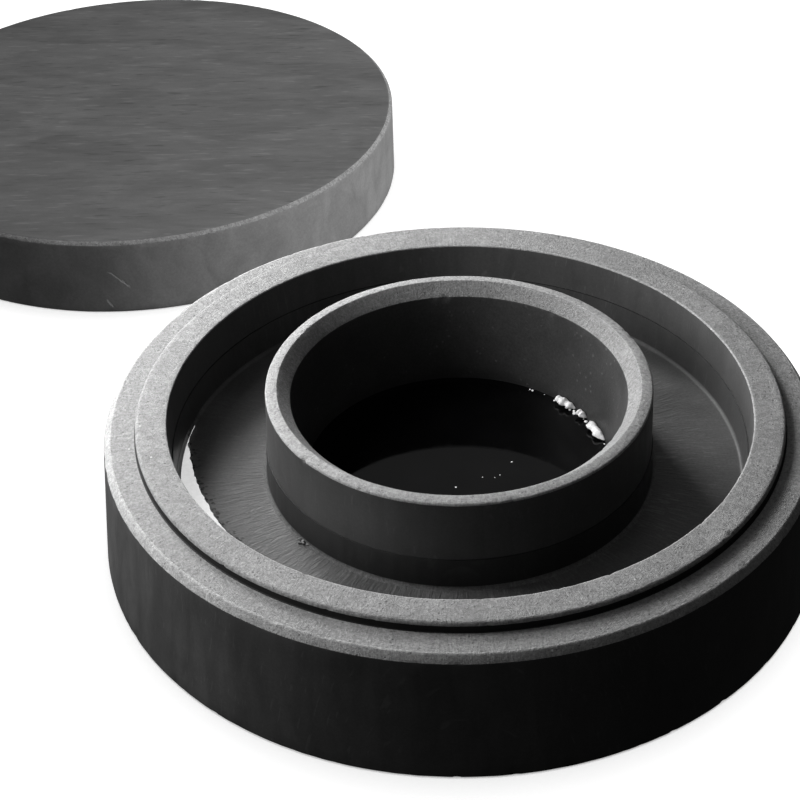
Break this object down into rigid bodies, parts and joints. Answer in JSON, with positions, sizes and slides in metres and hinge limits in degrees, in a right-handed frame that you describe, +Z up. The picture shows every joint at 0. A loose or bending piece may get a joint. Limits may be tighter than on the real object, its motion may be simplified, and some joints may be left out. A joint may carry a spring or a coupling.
{
  "type": "inkstone with lid",
  "caption": "Round stone inkstone: a raised ring holds a central ink well inside a ring-shaped moat, with a rim and ledge that seat the loose round lid beside it.",
  "frame": {"origin": "centre of the base's underside, where it stands on the table", "axes": "+Z up, +Y from the front of the base to the back; the lid lies behind and to the left"},
  "size_m": [0.2564, 0.3248, 0.0397],
  "materials": {
    "stone": "fine sanded black stone, paler where freshly sanded",
    "lid_stone": "fine sanded grey-black stone with faint horizontal streaks",
    "ink": "wet black liquid ink"
  },
  "bodies": {
    "base": {"base": "stone", "ink": "ink"},
    "lid": {"lid": "lid_stone"}
  },
  "joints": [
    {"name": "lid_lift", "type": "slide", "parent": "base", "child": "lid", "axis": [0, 0, 1], "range_m": [0, 0.1]}
  ]
}
